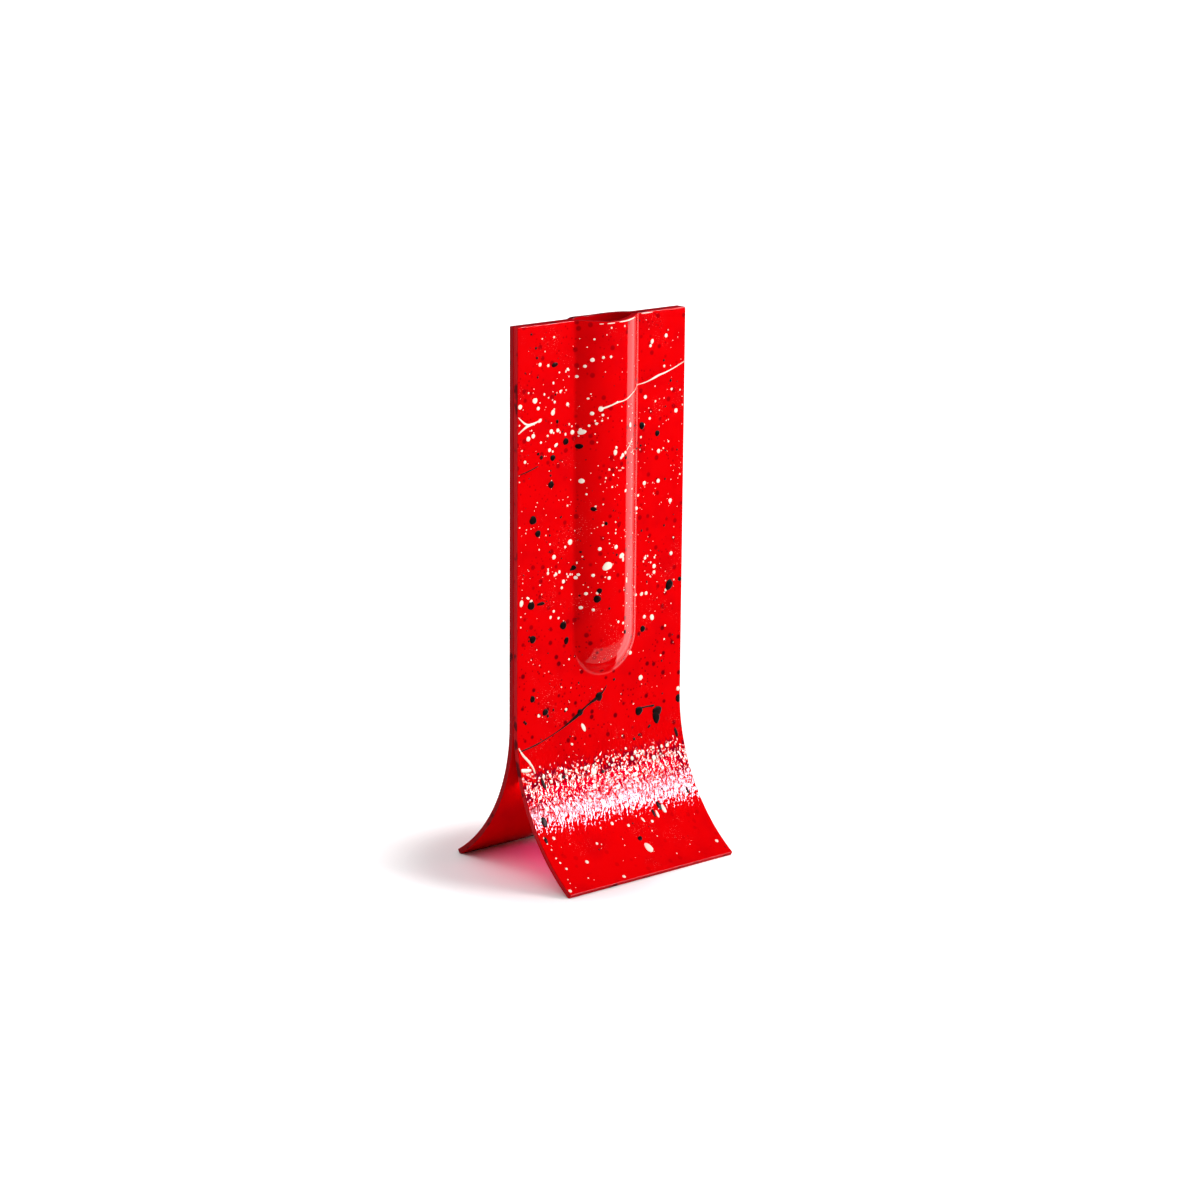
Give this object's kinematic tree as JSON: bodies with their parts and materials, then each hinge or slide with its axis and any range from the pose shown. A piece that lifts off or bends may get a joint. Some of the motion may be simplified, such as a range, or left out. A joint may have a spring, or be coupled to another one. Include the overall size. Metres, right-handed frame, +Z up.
{
  "type": "bud vase",
  "caption": "Upright bud vase of two formed gloss sheets glued back to back, with a long round-ended pocket and the lower ends swept apart into feet.",
  "frame": {"origin": "on the surface it stands on, under the middle of the sheets' width, halfway between the two feet", "axes": "+Z up, -Y out of the front sheet's face, +X to the right seen from the front"},
  "size_m": [0.105, 0.0896, 0.272],
  "materials": {
    "red_gloss_sheet": "gloss, splattered with white and black paint",
    "glue": "set clear glue, tinted by the sheets"
  },
  "bodies": {
    "root": {"front_sheet": "red_gloss_sheet", "rear_sheet": "red_gloss_sheet", "glue_seam": "glue"}
  },
  "joints": []
}
